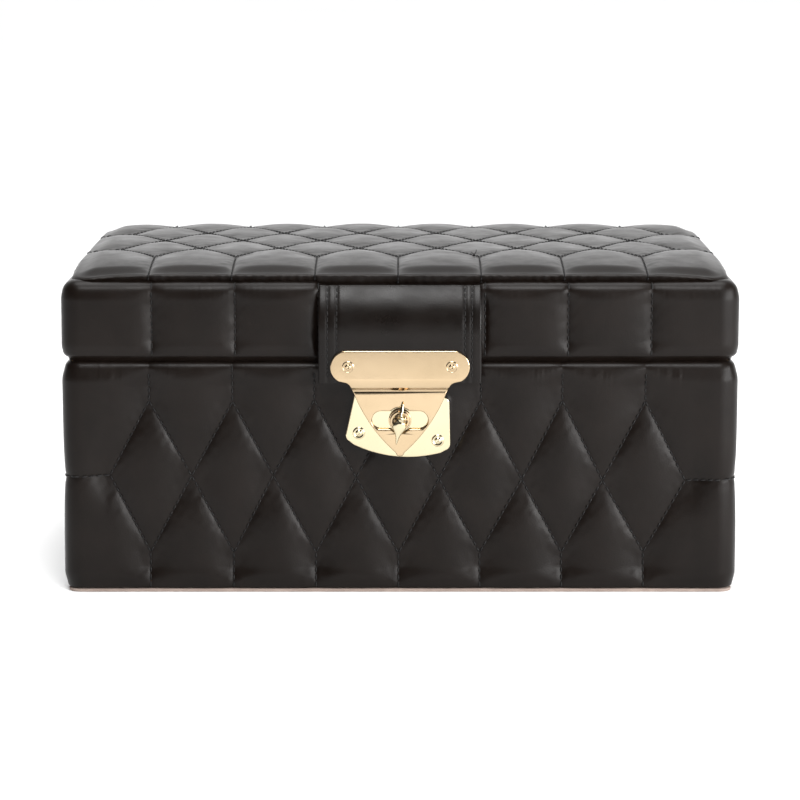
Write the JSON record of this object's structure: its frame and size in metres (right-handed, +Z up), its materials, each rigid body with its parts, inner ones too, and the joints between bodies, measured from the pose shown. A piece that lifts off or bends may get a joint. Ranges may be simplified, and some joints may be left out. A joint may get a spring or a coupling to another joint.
{
  "type": "jewellery case",
  "caption": "Quilted leather jewellery case with a padded hinged lid, a turn-lock strap, suede lining, a lid mirror and a tray that rises on arms as the lid opens.",
  "frame": {"origin": "centre of the case's flat underside, on the surface that it stands on", "axes": "+X to the right, +Y towards the hinges, +Z up; the strap and lock face -Y"},
  "size_m": [0.25, 0.179, 0.123],
  "materials": {
    "quilted_leather": "soft semi-gloss black, smooth grain",
    "strap_leather": "smooth semi-gloss black with twin stitching",
    "edge_leather": "smooth satin black",
    "base_sheet": "matte tan suede",
    "carcass_board": "raw fibreboard",
    "suede_lining": "soft tan suede cloth",
    "gold_metal": "polished pale gold plate",
    "fittings_brass": "satin brass",
    "mirror_silver": "silvered glass"
  },
  "bodies": {
    "case": {"base_cover": "base_sheet", "base_board": "carcass_board", "wall_front": "carcass_board", "wall_back": "carcass_board", "wall_left": "carcass_board", "wall_right": "carcass_board", "body_wrap": "quilted_leather", "body_rim": "edge_leather", "body_lining": "suede_lining", "floor_pad": "suede_lining", "floor_divider_long": "suede_lining", "floor_divider_left": "suede_lining", "floor_divider_right": "suede_lining", "hinge_leaf_body_left": "fittings_brass", "hinge_leaf_body_right": "fittings_brass", "hinge_pins": "fittings_brass", "arm_pivots": "fittings_brass", "keeper_plate": "gold_metal", "keeper_rivets": "gold_metal", "lock_stud": "gold_metal"},
    "lid": {"lid_board": "carcass_board", "lid_wall_front": "carcass_board", "lid_wall_back": "carcass_board", "lid_wall_left": "carcass_board", "lid_wall_right": "carcass_board", "lid_wrap": "quilted_leather", "lid_rim": "edge_leather", "lid_lining": "suede_lining", "lid_ceiling": "suede_lining", "lid_pad": "quilted_leather", "mirror_frame": "suede_lining", "mirror_glass": "mirror_silver", "strap_root": "strap_leather", "hinge_leaf_lid_left": "fittings_brass", "hinge_leaf_lid_right": "fittings_brass", "lift_bracket_left": "fittings_brass", "lift_bracket_right": "fittings_brass"},
    "clasp": {"closure_strap": "strap_leather", "hasp": "gold_metal", "hasp_rivets": "gold_metal"},
    "knob": {"turn_knob": "gold_metal"},
    "tray": {"tray_floor": "suede_lining", "tray_wall_front": "suede_lining", "tray_wall_back": "suede_lining", "tray_wall_left": "suede_lining", "tray_wall_right": "suede_lining", "tray_divider_long": "suede_lining", "tray_divider_front": "suede_lining", "tray_divider_back": "suede_lining", "ring_roll_1": "suede_lining", "ring_roll_2": "suede_lining", "ring_roll_3": "suede_lining", "ring_roll_4": "suede_lining", "ring_roll_5": "suede_lining", "ring_roll_6": "suede_lining", "tray_pins": "fittings_brass"},
    "arm_left": {"lift_arm_left": "fittings_brass"},
    "arm_right": {"lift_arm_right": "fittings_brass"}
  },
  "joints": [
    {"name": "lid_hinge", "type": "hinge", "parent": "case", "child": "lid", "pos_m": [0, 0.0855, 0.0853], "axis": [-1, 0, 0], "range_deg": [0, 100]},
    {"name": "clasp_swing", "type": "hinge", "parent": "lid", "child": "clasp", "pos_m": [0, -0.08465, 0.1132], "axis": [-1, 0, 0], "range_deg": [0, 90]},
    {"name": "knob_turn", "type": "hinge", "parent": "case", "child": "knob", "pos_m": [0, -0.083, 0.0655], "axis": [0, 1, 0], "range_deg": [0, 81.4]},
    {"name": "tray_level", "type": "hinge", "parent": "lid", "child": "tray", "pos_m": [0, 0.03659, 0.0749], "axis": [-1, 0, 0], "range_deg": [-100, 0]},
    {"name": "arm_left_lift", "type": "hinge", "parent": "case", "child": "arm_left", "pos_m": [-0.114, -0.00559, 0.0757], "axis": [-1, 0, 0], "range_deg": [0, 100]},
    {"name": "arm_right_lift", "type": "hinge", "parent": "case", "child": "arm_right", "pos_m": [0.114, -0.00559, 0.0757], "axis": [-1, 0, 0], "range_deg": [0, 100]}
  ],
  "couplings": [
    {"joint": "tray_level", "follows": "lid_hinge", "ratio": -1},
    {"joint": "arm_left_lift", "follows": "lid_hinge", "ratio": 1},
    {"joint": "arm_right_lift", "follows": "lid_hinge", "ratio": 1}
  ]
}
